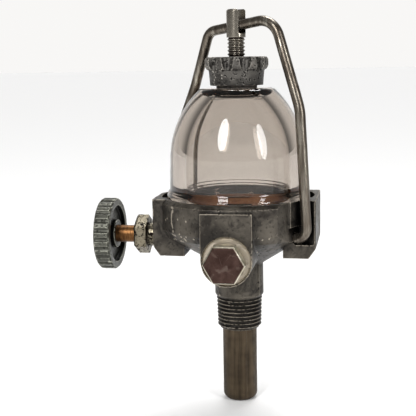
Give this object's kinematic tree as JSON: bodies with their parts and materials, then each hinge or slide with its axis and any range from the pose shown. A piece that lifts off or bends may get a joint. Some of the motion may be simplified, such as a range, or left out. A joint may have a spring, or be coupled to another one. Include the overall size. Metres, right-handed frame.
{
  "type": "fuel sediment bowl with shut-off valve",
  "caption": "Tank-mounted fuel sediment bowl: cast head with tapered thread and gauze inlet tube, needle valve, plugged side port, and a glass bowl clamped by a wire bail.",
  "frame": {"origin": "on the tank thread's axis, at the shoulder where the thread meets the neck", "axes": "+Z from the tank thread towards the closed end of the glass bowl, -X along the valve stem to its knob, -Y out of the plugged port; in service the part hangs the other way up, with +Z pointing down"},
  "size_m": [0.0831, 0.0646, 0.1425],
  "materials": {
    "casting": "rough cast, dull and stained",
    "nut_casting": "rough die cast",
    "glass": "clear moulded",
    "cork": "fuel-stained cork",
    "gauze_brass": "woven wire cloth",
    "strainer_gauze": "dull woven wire cloth",
    "stem_brass": "turned",
    "plug_steel": "scratched, copper-brown flash",
    "zinc_steel": "zinc plated, spotted",
    "bail_steel": "drawn wire, tarnished",
    "knob": "dark die cast",
    "packing": "graphited fibre"
  },
  "bodies": {
    "head": {"body_casting": "casting", "glass_bowl": "glass", "bowl_gasket": "cork", "gauze_rim": "gauze_brass", "gauze_disc": "gauze_brass", "strainer_tube": "strainer_gauze", "strainer_ferrule": "stem_brass", "hex_plug": "plug_steel", "packing_nut": "zinc_steel", "gland_washer": "zinc_steel", "stem_packing": "packing"},
    "stem": {"valve_stem": "stem_brass"},
    "knob": {"valve_knob": "knob", "knob_washer": "zinc_steel", "knob_screw": "zinc_steel"},
    "bail": {"bail_wire": "bail_steel", "bail_stud": "zinc_steel"},
    "nut_seat": {"pressure_washer": "zinc_steel", "nut_cushion": "packing"},
    "nut": {"thumb_nut": "nut_casting"}
  },
  "joints": [
    {"name": "valve_lift", "type": "slide", "parent": "head", "child": "stem", "axis": [-1, 0, 0], "range_m": [0, 0.0025]},
    {"name": "valve_turn", "type": "hinge", "parent": "stem", "child": "knob", "pos_m": [-0.049, 0, 0.0223], "axis": [-1, 0, 0], "range_deg": [0, 900]},
    {"name": "bail_swing", "type": "hinge", "parent": "head", "child": "bail", "pos_m": [0, 0, 0.0242], "axis": [0.866, -0.5, 0], "range_deg": [0, 60]},
    {"name": "nut_lift", "type": "slide", "parent": "bail", "child": "nut_seat", "axis": [0, 0, 1], "range_m": [0, 0.00571], "deforming": ["nut_cushion"]},
    {"name": "nut_turn", "type": "hinge", "parent": "nut_seat", "child": "nut", "pos_m": [0, 0, 0.0817], "axis": [0, 0, 1], "range_deg": [0, 1620]}
  ],
  "couplings": [
    {"joint": "valve_turn", "follows": "valve_lift", "rad_per_m": 6283.2},
    {"joint": "nut_turn", "follows": "nut_lift", "rad_per_m": 4947.4}
  ]
}
